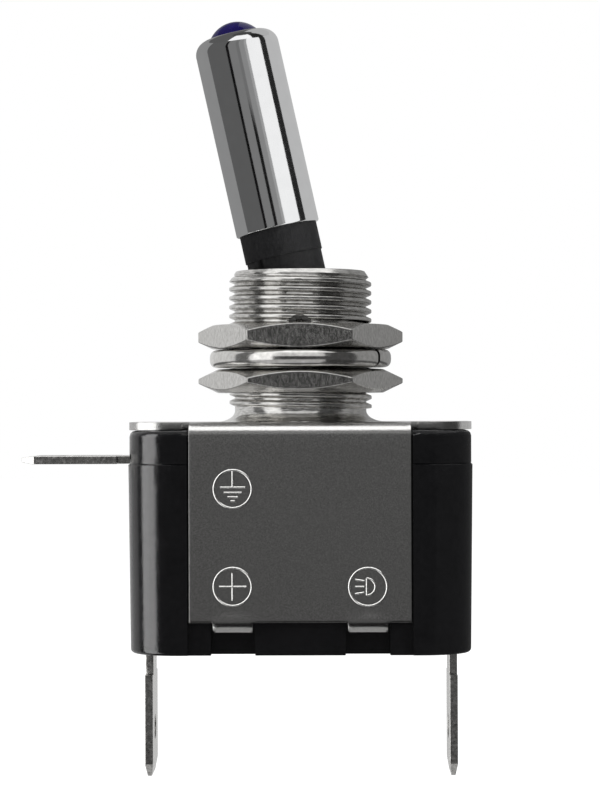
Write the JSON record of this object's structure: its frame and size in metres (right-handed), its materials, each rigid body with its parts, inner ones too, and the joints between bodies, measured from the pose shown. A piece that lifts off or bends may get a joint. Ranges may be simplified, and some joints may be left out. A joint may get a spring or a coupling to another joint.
{
  "type": "panel toggle switch",
  "caption": "Heavy-duty panel toggle switch: threaded neck with nuts and lock washer, folded frame, moulded body, blade terminals and a round lever with a lit tip.",
  "frame": {"origin": "on the neck's axis, level with the front nut's outer face", "axes": "+Z out of the panel along the neck; the lever swings in the XZ plane; the ground blade points to -X; -Y is the side that faces the viewer"},
  "size_m": [0.0372, 0.0154, 0.0625],
  "materials": {
    "plated_frame": "zinc plated sheet, faintly mottled",
    "nickel": "bright nickel plate",
    "black_moulding": "moulded phenolic, satin",
    "lever_plastic": "moulded, matt",
    "bright_chrome": "polished",
    "lamp_lens": "tinted clear epoxy",
    "steel_pin": "ground",
    "tinned_wire": "tinned",
    "resistor_body": "lacquered ceramic",
    "black_insulation": "soft",
    "red_insulation": "soft",
    "plunger_nylon": "moulded nylon",
    "spring_steel": "drawn wire",
    "contact_copper": "rolled copper alloy",
    "contact_silver": "silver",
    "tinned_blade": "tin plated brass"
  },
  "bodies": {
    "housing": {"bracket": "plated_frame", "cover": "black_moulding", "base": "black_moulding", "pivot_pin": "steel_pin", "lock_washer": "nickel", "fixed_contact": "contact_silver", "power_terminal": "tinned_blade", "load_terminal": "tinned_blade", "ground_terminal": "tinned_blade", "ground_wire": "black_insulation", "lamp_wire": "red_insulation"},
    "lever": {"lever_stem": "lever_plastic", "lever_sleeve": "bright_chrome", "lamp": "lamp_lens", "anode_lead": "tinned_wire", "cathode_lead": "tinned_wire", "lamp_resistor": "resistor_body", "plunger_spring": "spring_steel"},
    "plunger": {"plunger": "plunger_nylon"},
    "rocker": {"rocker": "contact_copper", "moving_contact": "contact_silver"},
    "front_nut": {"front_nut": "nickel"},
    "back_nut": {"back_nut": "nickel"}
  },
  "joints": [
    {"name": "lever_tilt", "type": "hinge", "parent": "housing", "child": "lever", "pos_m": [0, 0, -0.0003], "axis": [0, 1, 0], "range_deg": [0, 25], "deforming": ["ground_wire", "lamp_wire"]},
    {"name": "rocker_tip", "type": "hinge", "parent": "housing", "child": "rocker", "pos_m": [0, 0, -0.0176], "axis": [0, 1, 0], "range_deg": [-16, 0]},
    {"name": "plunger_slide", "type": "slide", "parent": "lever", "child": "plunger", "axis": [-0.2164, 0, 0.9763], "range_m": [0, 0.0012], "stiffness_N_per_m": 400, "springref_m": -0.002, "deforming": ["plunger_spring"]},
    {"name": "front_nut_turn", "type": "hinge", "parent": "housing", "child": "front_nut", "pos_m": [0, 0, -0.001], "axis": [0, 0, 1], "continuous": true},
    {"name": "back_nut_turn", "type": "hinge", "parent": "housing", "child": "back_nut", "pos_m": [0, 0, -0.0046], "axis": [0, 0, 1], "continuous": true}
  ],
  "couplings": [
    {"joint": "rocker_tip", "follows": "lever_tilt", "ratio": -0.64}
  ]
}
